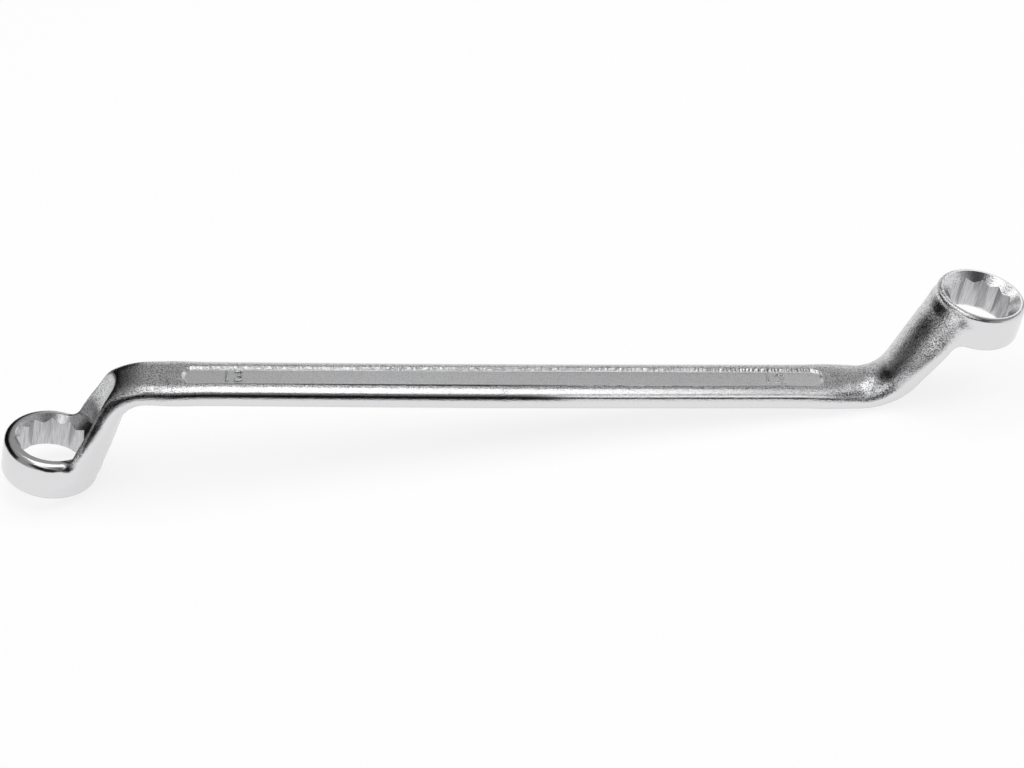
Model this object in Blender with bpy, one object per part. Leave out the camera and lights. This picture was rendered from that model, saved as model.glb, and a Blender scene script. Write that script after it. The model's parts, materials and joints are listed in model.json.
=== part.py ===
"""Offset ring spanner, 12 x 13 mm: one drop forging with a bi-hexagon ring at each end.

Modelled along its straight shank (X along the shank towards the 12 mm ring, Z out of
the shank's broad face), then laid down on its own two supports: the 13 mm ring and the
bend at the other end. Lengths are in metres.
"""

import bmesh
import bpy
import numpy as np
from math import atan2, cos, hypot, pi, radians, sin, sqrt, tan
from mathutils import Matrix, Vector

MM = 0.001

# Shank: a flat bar with rounded edges, and a shallow panel sunk in both broad faces
SHANK_WIDTH = 11.5 * MM
SHANK_THICKNESS = 4.8 * MM
SHANK_EDGE_ROUND = 1.7 * MM
PANEL_WIDTH = 7.2 * MM
PANEL_DEPTH = 0.5 * MM
PANEL_END_MARGIN = 5.8 * MM
PANEL_END_ROUND = 2.6 * MM
PANEL_WALL_SLOPE = radians(36)

# Necks: the bar cranks up to one ring and down to the other, and flares to meet them.
# A neck's throat is the flat side that faces the bore's axis. Its heel is the side away from
# the bore: a crown that rises out of the shank before the bend and takes on the ring's curve
NECK_THICKNESS = 6.4 * MM
NECK_EDGE_ROUND = 2.1 * MM
NECK_FLARE_POWER = 1.4
NECK_TO_BORE_AXIS = 6.9 * MM
HEEL_EDGE_ROUND = 0.5 * MM
HEEL_INSET = 0.4 * MM
CROWN_START = 8.0 * MM
CROWN_RUN = 12.0 * MM
CROWN_RISE = 1.2 * MM
BEND_RADIUS = 10.2 * MM

# Rings: common details of the two heads
HEAD_TILT = radians(9)
BORE_CLEARANCE = 0.1 * MM
BORE_POINTS = 12
LEAD_IN_WIDTH = 1.25 * MM
LEAD_IN_DEPTH = 1.0 * MM
RIM_LAND = 0.4 * MM
SHANK_SIDE_CHAMFER = 0.4 * MM
SHANK_SIDE_ROUND = 1.0 * MM
WALL_BARREL = 0.1 * MM
NECK_RELIEF_WIDTH = 1.4 * MM
NECK_RELIEF_EDGE = 0.8 * MM
NECK_RELIEF_DRAFT = radians(7)

# Each head: size across flats, wall round the bore, height, place of the ring's centre from the
# middle of the shank, slope of its neck, turn of the bore
HEAD_13 = {
    "across_flats": 13.0 * MM,
    "wall": 2.5 * MM,
    "height": 8.8 * MM,
    "reach": 94.55 * MM,
    "rise": 18.6 * MM,
    "neck_slope": radians(64.5),
    "bore_turn": radians(-6),
}
HEAD_12 = {
    "across_flats": 12.0 * MM,
    "wall": 2.25 * MM,
    "height": 8.2 * MM,
    "reach": 95.9 * MM,
    "rise": 19.7 * MM,
    "neck_slope": radians(60.5),
    "bore_turn": radians(-13),
}

# Facets
RING_STEPS = 56
CORNER_STEPS = 4
FLAT_STEPS = 10
CROWN_STEPS = 4
BEND_STEPS = 10
NECK_STEPS = 13
RIM_STEPS = 5
PANEL_END_STEPS = 8
CUT_OVERRUN = 1.0 * MM
MERGE_DISTANCE = 0.001 * MM

CHROME_COLOUR = (0.70, 0.70, 0.71, 1.0)
CHROME_ROUGHNESS = 0.30
SHARP_ANGLE = radians(32)


def clear_scene():
    for obj in list(bpy.data.objects):
        bpy.data.objects.remove(obj, do_unlink=True)


def new_object(name, bm, parent, cutter=False):
    """Turn a bmesh into a named object under the parent; a cutter is kept out of the model."""
    bmesh.ops.recalc_face_normals(bm, faces=bm.faces)
    mesh = bpy.data.meshes.new(name)
    bm.to_mesh(mesh)
    bm.free()
    obj = bpy.data.objects.new(name, mesh)
    bpy.context.scene.collection.objects.link(obj)
    obj.parent = parent
    if cutter:
        obj.hide_render = True
        obj.display_type = "WIRE"
    return obj


def combine(body, operation, label, others):
    """Join a group of solids to the body in one step, or cut them away."""
    group = bpy.data.collections.new(label)
    for other in others:
        group.objects.link(other)
    boolean = body.modifiers.new(label, "BOOLEAN")
    boolean.operation = operation
    boolean.solver = "EXACT"
    boolean.operand_type = "COLLECTION"
    boolean.collection = group


def arc(centre, radius, start, stop, steps):
    """Points on a circle in a plane, from one angle to another, both ends included."""
    angles = [start + (stop - start) * i / steps for i in range(steps + 1)]
    return [(centre[0] + radius * cos(a), centre[1] + radius * sin(a)) for a in angles]


def smooth_step(t):
    return t * t * (3 - 2 * t)


def mix(a, b, t):
    return a + (b - a) * t


def clamp(t):
    return min(max(t, 0), 1)


def soft_max(a, b, reach):
    """The greater of two values, with a soft change from one to the other."""
    near = max(reach - abs(a - b), 0) / reach
    return max(a, b) + near * near * reach / 4


def rounded_bar(half_width, half_thickness, upper_round, lower_round):
    """Outline (y, q) of a rectangle with rounded corners and points along its two broad sides."""
    outline = []
    for side, radius in ((1, upper_round), (-1, lower_round)):
        flat = half_width - radius
        depth = half_thickness - radius
        first = 0 if side > 0 else pi
        outline += arc((side * flat, side * depth), radius, first, first + pi / 2, CORNER_STEPS)
        for i in range(1, FLAT_STEPS):
            outline.append((side * flat * (1 - 2 * i / FLAT_STEPS), side * half_thickness))
        outline += arc((-side * flat, side * depth), radius, first + pi / 2, first + pi, CORNER_STEPS)
    return outline


def loft(sections):
    """Skin a closed solid over outlines that all have the same number of points."""
    bm = bmesh.new()
    rings = [[bm.verts.new(point) for point in section] for section in sections]
    count = len(rings[0])
    for lower, upper in zip(rings, rings[1:]):
        for i in range(count):
            j = (i + 1) % count
            bm.faces.new((lower[i], lower[j], upper[j], upper[i]))
    bm.faces.new(rings[0])
    bm.faces.new(rings[-1])
    return bm


def turned(profile, first_turn=0):
    """Turn a (radius, height) profile that starts and ends on the axis about Z."""
    bm = bmesh.new()
    first = (cos(first_turn), sin(first_turn))
    verts = [bm.verts.new((radius * first[0], radius * first[1], height)) for radius, height in profile]
    edges = [bm.edges.new(pair) for pair in zip(verts, verts[1:])]
    bmesh.ops.spin(
        bm,
        geom=verts + edges,
        cent=(0, 0, 0),
        axis=(0, 0, 1),
        angle=2 * pi,
        steps=RING_STEPS,
        use_merge=True,
    )
    bmesh.ops.remove_doubles(bm, verts=bm.verts, dist=MERGE_DISTANCE)
    return bm


class Head:
    """Sizes and places of one ring, worked out from its driving dimensions.

    The 12 mm head sits up and to the right; the 13 mm head is the same layout turned half
    round about Y, so every place below is in the upright layout.
    """

    def __init__(self, name, spec, upright):
        flats = spec["across_flats"] + BORE_CLEARANCE
        self.name = name
        self.upright = upright
        self.height = spec["height"]
        self.bore_turn = spec["bore_turn"]
        self.groove_radius = flats / sqrt(3)
        self.ridge_radius = flats / 2 / cos(pi / BORE_POINTS)
        self.land_radius = self.groove_radius + LEAD_IN_WIDTH + RIM_LAND
        self.outer_radius = self.groove_radius + spec["wall"]
        self.rim_round = self.outer_radius - self.land_radius
        self.centre = Vector((spec["reach"], 0, spec["rise"]))
        self.along = Vector((cos(HEAD_TILT), 0, -sin(HEAD_TILT)))
        self.axis = Vector((sin(HEAD_TILT), 0, cos(HEAD_TILT)))
        self.slope = spec["neck_slope"]
        self.lean = self.slope + HEAD_TILT
        throat_to_axis = NECK_TO_BORE_AXIS - NECK_THICKNESS / 2 / sin(self.lean)
        self.throat_half = sqrt(self.outer_radius ** 2 - throat_to_axis ** 2)
        sunk = self.height - self.rim_round
        end_to_axis = NECK_TO_BORE_AXIS - sunk / tan(self.lean)
        self.heel = (self.outer_radius - HEEL_INSET - end_to_axis) * sin(self.lean)
        self.root = self.centre - self.axis * self.height / 2 - self.along * NECK_TO_BORE_AXIS
        self.neck_run = Vector((cos(self.slope), 0, sin(self.slope)))
        corner_x = self.root.x - self.root.z / tan(self.slope)
        bend_reach = BEND_RADIUS * tan(self.slope / 2)
        self.bend_start = corner_x - bend_reach
        self.bend_end = Vector((corner_x, 0, 0)) + self.neck_run * bend_reach
        self.bend_length = BEND_RADIUS * self.slope
        self.to_root = self.bend_length + (self.root - self.bend_end).length
        self.to_end = self.to_root + sunk / sin(self.lean)

    def stations(self):
        """Distances along the bar from the start of the bend, from the crown's start to the end."""
        marks = (-CROWN_START, 0, self.bend_length, self.to_end)
        counts = (CROWN_STEPS, BEND_STEPS, NECK_STEPS)
        places = [marks[0]]
        for start, stop, count in zip(marks, marks[1:], counts):
            places += [mix(start, stop, (i + 1) / count) for i in range(count)]
        return places

    def middle_line(self, travelled):
        """Place and slope of the bar's middle, this far from the start of the bend."""
        if travelled <= 0:
            return Vector((self.bend_start + travelled, 0, 0)), 0
        if travelled <= self.bend_length:
            slope = travelled / BEND_RADIUS
            pivot = Vector((self.bend_start, 0, BEND_RADIUS))
            return pivot + BEND_RADIUS * Vector((sin(slope), 0, -cos(slope))), slope
        return self.bend_end + self.neck_run * (travelled - self.bend_length), self.slope

    def relief(self, centre, across, y):
        """How far across the bar the steep cone that clears the bore reaches, at y from its middle."""
        place = centre - self.centre
        below_face = -place.dot(self.axis) - self.height / 2
        radius = self.groove_radius + NECK_RELIEF_WIDTH + below_face * tan(NECK_RELIEF_DRAFT)
        reach = sqrt(max(radius ** 2 - y ** 2, 0))
        return -(place.dot(self.along) + reach) / across.dot(self.along)

    def frame(self):
        """Matrix that carries a ring modelled about Z, working face up, to its place."""
        columns = (self.along, Vector((0, 1, 0)), self.axis)
        matrix = Matrix.Identity(4)
        for i, column in enumerate(columns):
            for j in range(3):
                matrix[j][i] = column[j]
        matrix.translation = self.centre
        return self.turn() @ matrix

    def turn(self):
        return Matrix.Identity(4) if self.upright else Matrix.Rotation(pi, 4, "Y")


def crown_drop(y, curve):
    """How far a crown of this curve (1 / radius) has fallen away at y from its crest."""
    return curve * y * y / (1 + sqrt(1 - (curve * y) ** 2))


def bar_section(head, travelled):
    """Outline of the bar at one station, its heel raised into a crown, its throat hollowed.

    The outline stands square to the run as far as the bend's end, then leans over until it
    lies level with the ring's face at the neck's end inside the ring.
    """
    centre, slope = head.middle_line(travelled)
    leaned = clamp((travelled - head.bend_length) / (head.to_end - head.bend_length)) / tan(head.lean)
    across = Vector((-sin(slope), 0, cos(slope))) - head.neck_run * leaned
    bent = smooth_step(clamp(travelled / head.bend_length))
    flare = smooth_step(clamp(travelled / head.to_root) ** NECK_FLARE_POWER)
    crowned = smooth_step(clamp((travelled + CROWN_START) / CROWN_RUN))
    half_width = mix(SHANK_WIDTH / 2, head.throat_half, flare)
    half_thickness = mix(SHANK_THICKNESS, NECK_THICKNESS, bent) / 2
    crest = mix(SHANK_THICKNESS / 2 + CROWN_RISE * crowned, head.heel, flare)
    throat_round = mix(SHANK_EDGE_ROUND, NECK_EDGE_ROUND, flare)
    heel_round = mix(SHANK_EDGE_ROUND, HEEL_EDGE_ROUND, flare)
    rounds = (heel_round, throat_round) if head.upright else (throat_round, heel_round)
    to_heel = 1 if head.upright else -1
    outline = []
    for y, q in rounded_bar(half_width, half_thickness, *rounds):
        heel = crest - crown_drop(y, crowned / head.outer_radius)
        from_throat = (to_heel * q / half_thickness + 1) / 2
        offset = mix(-half_thickness, heel, from_throat)
        offset = soft_max(offset, head.relief(centre, across, y), NECK_RELIEF_EDGE)
        outline.append(head.turn() @ centre + Vector((0, y, 0)) + across * (to_heel * offset))
    return outline


def make_bar(heads, parent):
    """Shank, bends and necks as one loft that ends inside both rings."""
    low, high = heads
    sections = [bar_section(low, place) for place in reversed(low.stations())]
    sections += [bar_section(high, place) for place in high.stations()]
    return new_object("spanner_forging", loft(sections), parent)


def ring_profile(head):
    """Outline of the ring's wall (radius, height), solid to the axis, working face up."""
    half = head.height / 2
    wall_top = half - head.rim_round
    wall_bottom = -half + SHANK_SIDE_ROUND
    wall = []
    for i in range(1, RIM_STEPS):
        t = i / RIM_STEPS
        bulge = WALL_BARREL * sin(pi * t)
        wall.append((head.outer_radius + bulge, mix(wall_top, wall_bottom, t)))
    top_round = arc((head.land_radius, wall_top), head.rim_round, pi / 2, 0, RIM_STEPS)
    bottom_centre = (head.outer_radius - SHANK_SIDE_ROUND, wall_bottom)
    bottom_round = arc(bottom_centre, SHANK_SIDE_ROUND, 0, -pi / 2, RIM_STEPS)
    return [(0, half)] + top_round + wall + bottom_round + [(0, -half)]


def bore_cutter(head):
    """Twelve-point prism through the ring and clear of the neck."""
    bm = bmesh.new()
    reach = head.height + CUT_OVERRUN
    points = []
    for i in range(2 * BORE_POINTS):
        angle = head.bore_turn + pi * i / BORE_POINTS
        radius = head.groove_radius if i % 2 == 0 else head.ridge_radius
        points.append((radius * cos(angle), radius * sin(angle), -reach))
    face = bm.faces.new([bm.verts.new(point) for point in points])
    result = bmesh.ops.extrude_face_region(bm, geom=[face])
    top = [item for item in result["geom"] if isinstance(item, bmesh.types.BMVert)]
    bmesh.ops.translate(bm, verts=top, vec=(0, 0, 2 * reach))
    return bm


def lead_in_profile(head):
    """Wide cone that guides the ring on to a nut, cut into the working face."""
    half = head.height / 2
    slope = LEAD_IN_DEPTH / LEAD_IN_WIDTH
    rim = head.groove_radius + LEAD_IN_WIDTH
    inner = head.ridge_radius - CUT_OVERRUN
    return [
        (0, half + CUT_OVERRUN),
        (rim + CUT_OVERRUN / slope, half + CUT_OVERRUN),
        (inner, half - (rim - inner) * slope),
        (0, half - (rim - inner) * slope),
    ]


def back_chamfer_profile(head):
    """Chamfer of the bore on the shank side."""
    half = head.height / 2
    rim = head.groove_radius + SHANK_SIDE_CHAMFER
    inner = head.ridge_radius - CUT_OVERRUN
    return [
        (0, rim - inner - half),
        (inner, rim - inner - half),
        (rim + SHANK_SIDE_CHAMFER, -half - SHANK_SIDE_CHAMFER),
        (0, -half - SHANK_SIDE_CHAMFER),
    ]


def panel_outline(start, stop, inset):
    """Long panel with rounded ends, as (x, y), drawn in by the inset."""
    half = PANEL_WIDTH / 2 - inset
    end = PANEL_END_ROUND - inset
    outline = []
    for tip, first in ((stop, -pi / 2), (start, pi / 2)):
        side = 1 if tip == stop else -1
        centre_x = tip - side * PANEL_END_ROUND
        for i in range(PANEL_END_STEPS + 1):
            angle = first + pi * i / PANEL_END_STEPS
            outline.append((centre_x + end * cos(angle), half * sin(angle)))
    return outline


def panel_cutter(heads):
    """Shallow panel with sloping walls, for the upper broad face."""
    low, high = heads
    start = -low.bend_start + PANEL_END_MARGIN
    stop = high.bend_start - PANEL_END_MARGIN
    rise = PANEL_DEPTH + CUT_OVERRUN
    floor = SHANK_THICKNESS / 2 - PANEL_DEPTH
    sections = []
    for height in (0, rise):
        inset = (PANEL_DEPTH - height) * tan(pi / 2 - PANEL_WALL_SLOPE)
        outline = panel_outline(start, stop, inset)
        sections.append([(x, y, floor + height) for x, y in outline])
    return loft(sections)


def make_spanner():
    frame = bpy.data.objects.new("spanner_at_rest", None)
    bpy.context.scene.collection.objects.link(frame)
    heads = (Head("ring_13", HEAD_13, False), Head("ring_12", HEAD_12, True))
    body = make_bar(heads, frame)
    # Cutters are turned by half a facet, so that none of their edges meets an edge of the ring
    half_facet = pi / RING_STEPS
    blanks = []
    cutters = []
    for head in heads:
        shapes = (
            ("blank", turned(ring_profile(head)), blanks),
            ("bore", bore_cutter(head), cutters),
            ("lead_in", turned(lead_in_profile(head), half_facet), cutters),
            ("back_chamfer", turned(back_chamfer_profile(head), half_facet), cutters),
        )
        for label, shape, group in shapes:
            tool = new_object(f"{head.name}_{label}", shape, frame, cutter=True)
            tool.matrix_local = head.frame()
            group.append(tool)
    for label, turn in (("upper", 0), ("lower", pi)):
        cutter = new_object(f"panel_{label}", panel_cutter(heads), frame, cutter=True)
        cutter.matrix_local = Matrix.Rotation(turn, 4, "X")
        cutters.append(cutter)
    combine(body, "UNION", "ring blanks", blanks)
    combine(body, "DIFFERENCE", "cuts", cutters)
    body.data.materials.append(satin_chrome())
    body.data.shade_smooth()
    body.data.set_sharp_from_angle(angle=SHARP_ANGLE)
    lay_down(frame, body)
    return body


def satin_chrome():
    material = bpy.data.materials.new("satin_chrome")
    material.use_nodes = True
    shader = material.node_tree.nodes["Principled BSDF"]
    shader.inputs["Base Color"].default_value = CHROME_COLOUR
    shader.inputs["Metallic"].default_value = 1.0
    shader.inputs["Roughness"].default_value = CHROME_ROUGHNESS
    return material


def lower_supports(points):
    """The two points, as (x, z), that the body rests on under its middle."""
    hull = []
    for point in sorted(set(points)):
        while len(hull) > 1 and cross(hull[-2], hull[-1], point) <= 0:
            hull.pop()
        hull.append(point)
    middle = (hull[0][0] + hull[-1][0]) / 2
    for left, right in zip(hull, hull[1:]):
        if left[0] <= middle <= right[0]:
            return left, right
    raise ValueError("no supports under the spanner's middle")


def cross(a, b, c):
    return (b[0] - a[0]) * (c[1] - a[1]) - (b[1] - a[1]) * (c[0] - a[0])


def lay_down(frame, body):
    """Turn and shift the frame so that the spanner rests on Z = 0, centred over the origin."""
    bpy.context.view_layer.update()
    evaluated = body.evaluated_get(bpy.context.evaluated_depsgraph_get())
    mesh = evaluated.to_mesh()
    points = np.array([tuple(body.matrix_world @ vert.co) for vert in mesh.vertices])
    evaluated.to_mesh_clear()
    left, right = lower_supports([(x, z) for x, _, z in points.tolist()])
    lie = atan2(right[1] - left[1], right[0] - left[0])
    turned_x = points[:, 0] * cos(lie) + points[:, 2] * sin(lie)
    turned_z = points[:, 2] * cos(lie) - points[:, 0] * sin(lie)
    frame.rotation_euler = (0, lie, 0)
    frame.location = (-(turned_x.min() + turned_x.max()) / 2, 0, -turned_z.min())
    bpy.context.view_layer.update()
    print("lie angle in degrees", round(lie * 180 / pi, 3))
    print("length between supports in mm", round(hypot(right[0] - left[0], right[1] - left[1]) / MM, 2))


clear_scene()
make_spanner()
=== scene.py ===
"""Looks of a 12 x 13 mm offset ring spanner: forged skin, machined cuts, size numbers and studio."""

import json
from itertools import product
from math import atan2, cos, pi, radians, sin, sqrt, tan
from typing import NamedTuple

import bmesh
import bpy
import numpy as np
from bpy.props import FloatProperty, FloatVectorProperty, PointerProperty
from bpy.types import Operator, Panel, PropertyGroup
from mathutils import Matrix, Vector


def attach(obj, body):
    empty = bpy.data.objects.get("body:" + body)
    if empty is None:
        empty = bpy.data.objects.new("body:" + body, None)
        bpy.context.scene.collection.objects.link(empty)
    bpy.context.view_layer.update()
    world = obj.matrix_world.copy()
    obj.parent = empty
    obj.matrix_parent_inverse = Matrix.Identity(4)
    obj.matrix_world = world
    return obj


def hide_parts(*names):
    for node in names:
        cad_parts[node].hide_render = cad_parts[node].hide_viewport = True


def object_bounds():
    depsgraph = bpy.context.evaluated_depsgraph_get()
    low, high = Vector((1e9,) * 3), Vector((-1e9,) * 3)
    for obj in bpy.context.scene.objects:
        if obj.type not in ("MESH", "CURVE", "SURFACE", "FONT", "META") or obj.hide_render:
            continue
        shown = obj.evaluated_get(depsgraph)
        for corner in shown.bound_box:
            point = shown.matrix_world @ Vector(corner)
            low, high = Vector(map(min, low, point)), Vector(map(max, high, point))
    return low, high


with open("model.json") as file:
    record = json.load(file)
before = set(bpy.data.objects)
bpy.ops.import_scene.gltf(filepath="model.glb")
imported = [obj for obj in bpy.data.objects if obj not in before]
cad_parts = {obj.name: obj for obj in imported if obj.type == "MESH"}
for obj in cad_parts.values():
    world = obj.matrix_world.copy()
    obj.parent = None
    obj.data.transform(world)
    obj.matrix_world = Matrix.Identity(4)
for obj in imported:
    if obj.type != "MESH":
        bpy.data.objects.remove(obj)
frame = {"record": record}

bl_info = {
    "name": "Offset ring spanner",
    "version": (1, 0, 0),
    "blender": (4, 5, 0),
    "location": "3D View > Sidebar > Spanner",
    "description": "Builds a chromed offset ring spanner on its packed solid, and its studio",
    "category": "Object",
}

MM = 0.001
NODE = "spanner_forging"
BODY = "root"
FACE_MOUNT = "ring_12_working_face"
CAD_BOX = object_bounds()

BORE_POINTS = 12
TURN_STEPS = 144
SETTLE_STEPS = 5
SHARP_ANGLE = radians(33)
CUT_OVERRUN = 1.0 * MM
MERGE_DISTANCE = 0.001 * MM

# The join between neck and ring shrinks to this share over this depth below the neck's end
FILLET_FADE = 3 * MM
FILLET_LEAST = 0.1

# Height of a digit as a share of its font's size
DIGIT_SHARE = 0.72

WHITE = (1.0, 1.0, 1.0, 1.0)
BLACK = (0.0, 0.0, 0.0, 1.0)
SENSOR_WIDTH = 36.0
CLIP_START = 10 * MM

# Material slots of the spanner, in the order that faces and cutters number them
SKIN, BORE, LEAD_IN, PANEL = range(4)

# Mesh attribute that says how strongly the skin is blasted, from 0 where it is ground to 1.
# In the panels it is 0 on the floor and 1 on the walls.
BLASTED = "blasted"
SHANK_BLASTED = 0.45


class Card(NamedTuple):
    """A studio card: its middle, the way it faces, its size, its brightness and its tilt."""

    x: float
    y: float
    turn: float
    width: float
    low: float
    high: float
    brightness: float
    tilt: float = 0.0


# The shank lies this many degrees off level, and the cards before it follow it
SHANK_TILT = 7.8

# Cards that only the plate reflects, in millimetres and in degrees round from the front
CARDS = {
    # Before the left and the right part of the shank
    "shank_flag": Card(-32, -30, 0, 94, 11, 36, 0.0, SHANK_TILT),
    "shank_shade": Card(-32, -30, 0, 94, 36, 80, 0.18, SHANK_TILT),
    "right_flag": Card(43, -30, 0, 55, 6, 17, 0.0, SHANK_TILT),
    "right_glow": Card(43, -30, 0, 55, 20, 50, 1.2, SHANK_TILT),
    "right_shade": Card(43, -30, 0, 55, 52, 97, 0.4, SHANK_TILT),
    # About the 12 mm end
    "ring_flag": Card(98, -32, 0, 30, 28, 42, 0.0),
    "ring_shade": Card(140, -40, 48, 60, 70, 172, 0.05),
    "ring_glow": Card(66, -44, -40, 40, 60, 140, 1.3),
    "bend_flag": Card(73, -24, 0, 8, 0, 7, 0.0),
    "bend_card": Card(95, -60, 0, 30, 46, 92, 1.2),
    "bend_fill": Card(5, -28, 90, 46, 88, 128, 1.3),
    # About the 13 mm end
    "neck_flag": Card(-103, -45, 0, 32, 0, 74, 0.0, -27),
    "neck_glow": Card(-100, -66, 0, 40, 58, 240, 1.4),
    "bend_glow": Card(-24, 118, 40, 120, 165, 300, 1.6),
    "left_flag": Card(-150, 100, 42, 150, 0, 115, 0.0),
    # Far off, for both ends
    "far_left_flag": Card(-400, 121, -104, 490, 60, 440, 0.0),
    "right_card": Card(300, 20, 90, 320, 0, 110, 0.9),
    "back_right_card": Card(235, 260, -30, 110, 70, 300, 1.2),
    "back_card": Card(40, 420, 180, 520, 0, 230, 0.8),
}


# Settings that a user would change

def length(name, description, millimetres):
    return FloatProperty(name=name, description=description, default=millimetres * MM, unit="LENGTH")


def angle(name, description, degrees):
    return FloatProperty(name=name, description=description, default=radians(degrees), subtype="ANGLE")


def share(name, description, default):
    return FloatProperty(name=name, description=description, default=default, subtype="FACTOR")


def amount(name, description, default):
    return FloatProperty(name=name, description=description, default=default)


def colour(name, description, default):
    return FloatVectorProperty(
        name=name, description=description, default=default, size=3, min=0, max=1, subtype="COLOR"
    )


class SpannerSizes(PropertyGroup):
    """Sizes that both ends of the spanner share."""

    shank_width: length("Shank width", "Width of the straight bar", 11.8)
    shank_thickness: length("Shank thickness", "Thickness of the straight bar", 4.8)
    shank_edge: length("Shank edge", "Rounding of the bar's four edges", 1.25)
    shank_side: length("Shank side", "Radius of the bar's bulging sides", 3.6)
    shank_bow: length("Shank bow", "How far the middle of the bar sags below its ends", 0.25)
    shank_swell: length("Shank swell", "How far the bar's sides swell beside the panel's ends", 0.25)
    panel_margin: length("Panel margin", "From the start of a bend to the panel's end", 5.8)
    panel_width: length("Panel width", "Width of the sunk panel at its rim", 8.0)
    panel_depth: length("Panel depth", "Depth of the sunk panel", 0.5)
    panel_end_round: length("Panel end", "Radius of the panel's ends, along the bar", 3.6)
    panel_slope: angle("Panel wall", "Slope of the panel's walls", 35)
    panel_rim: length("Panel rim", "Radius where the panel's wall meets the bar's face", 0.35)
    neck_thickness: length("Neck thickness", "Thickness of the cranked necks", 6.4)
    neck_edge: length("Neck edge", "Radius of a neck's edges", 2.1)
    neck_side: length("Neck side", "Radius of a neck's bulging flanks", 12.0)
    neck_flare: amount("Neck flare", "How late along the neck it grows wider", 1.4)
    neck_to_bore: length("Neck to bore", "From the bore's axis to the middle of the neck", 6.9)
    neck_fillet: length("Neck fillet", "Reach of the soft join between neck and ring", 2.0)
    heel_edge: length("Heel edge", "Rounding where a neck's heel meets its flanks", 0.5)
    heel_inset: length("Heel inset", "How far inside the ring's wall a neck's heel ends", 0.4)
    crown_start: length("Crown start", "How far before the bend the heel starts to be crowned", 8.0)
    crown_run: length("Crown run", "How far along the bar the crown takes to grow", 12.0)
    crown_rise: length("Crown rise", "How far the crown stands over the shank's face at the bend", 1.2)
    bend_radius: length("Bend radius", "Radius of the bends, at the middle of the bar", 10.2)
    head_tilt: angle("Head tilt", "Tilt of the rings against the shank", 9)
    bore_clearance: length("Bore clearance", "Play of the bore over the nut", 0.1)
    bore_edge: length("Bore edge", "Radius of the edges between the bore's facets", 0.12)
    lead_in_width: length("Lead-in width", "Width of the cone at the working face", 1.15)
    lead_in_depth: length("Lead-in depth", "Depth of the cone at the working face", 1.0)
    rim_land: length("Rim land", "Flat left round the lead-in", 0.25)
    back_chamfer: length("Back chamfer", "Chamfer of the bore on the shank's side", 0.4)
    back_round: length("Back round", "Radius of the ring's edge on the shank's side", 1.5)
    wall_barrel: length("Wall barrel", "Bulge of the ring's wall", 0.1)
    relief_width: length("Relief width", "How far the neck's hollow is cut back from the bore", 1.4)
    relief_draft: angle("Relief draft", "Draft of the neck's hollow", 7)
    relief_edge: length("Relief edge", "Softness of the hollow's edges", 0.8)
    number_height: length("Number height", "Height of the size numbers", 3.6)
    number_rise: length("Number rise", "How far the numbers stand up from the panel", 0.3)
    number_reach: length("Number place", "From the middle of the shank to each number", 55.9)
    grain: length("Mesh grain", "Spacing of the skin's points at the ends", 0.27)
    shank_grain: length("Shank grain", "Spacing of the skin's points along the shank", 0.8)
    skin_inset: length("Skin inset", "How far the skin lies inside the solid's true surface", 0.02)


RING_WORDS = {
    "across_flats": ("Across flats", "Size of the nut that the ring fits"),
    "wall": ("Wall", "Wall round the bore's grooves"),
    "height": ("Height", "Height of the ring"),
    "reach": ("Reach", "From the middle of the shank to the ring's centre, along it"),
    "rise": ("Rise", "From the middle of the shank to the ring's centre, square to it"),
    "back_shift": ("Back shift", "How far the bore's back chamfer lies off its axis"),
}
RING_TURNS = {
    "neck_slope": ("Neck slope", "Slope of the neck against the shank"),
    "bore_turn": ("Bore turn", "Turn of the bore's points about its axis"),
}


def ring_group(class_name, doc, **sizes):
    """A settings class for one ring, with its own default sizes in millimetres and degrees."""
    notes = {key: length(*words, sizes[key]) for key, words in RING_WORDS.items()}
    notes.update({key: angle(*words, sizes[key]) for key, words in RING_TURNS.items()})
    return type(class_name, (PropertyGroup,), {"__doc__": doc, "__annotations__": notes})


Ring13Sizes = ring_group(
    "Ring13Sizes", "Sizes of the 13 mm ring and its neck.",
    across_flats=13.0, wall=2.5, height=8.8, reach=94.55, rise=18.6,
    back_shift=0.27, neck_slope=64.5, bore_turn=-6,
)
Ring12Sizes = ring_group(
    "Ring12Sizes", "Sizes of the 12 mm ring and its neck.",
    across_flats=12.0, wall=2.25, height=8.2, reach=95.9, rise=19.7,
    back_shift=0.0, neck_slope=60.5, bore_turn=-13,
)


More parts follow.
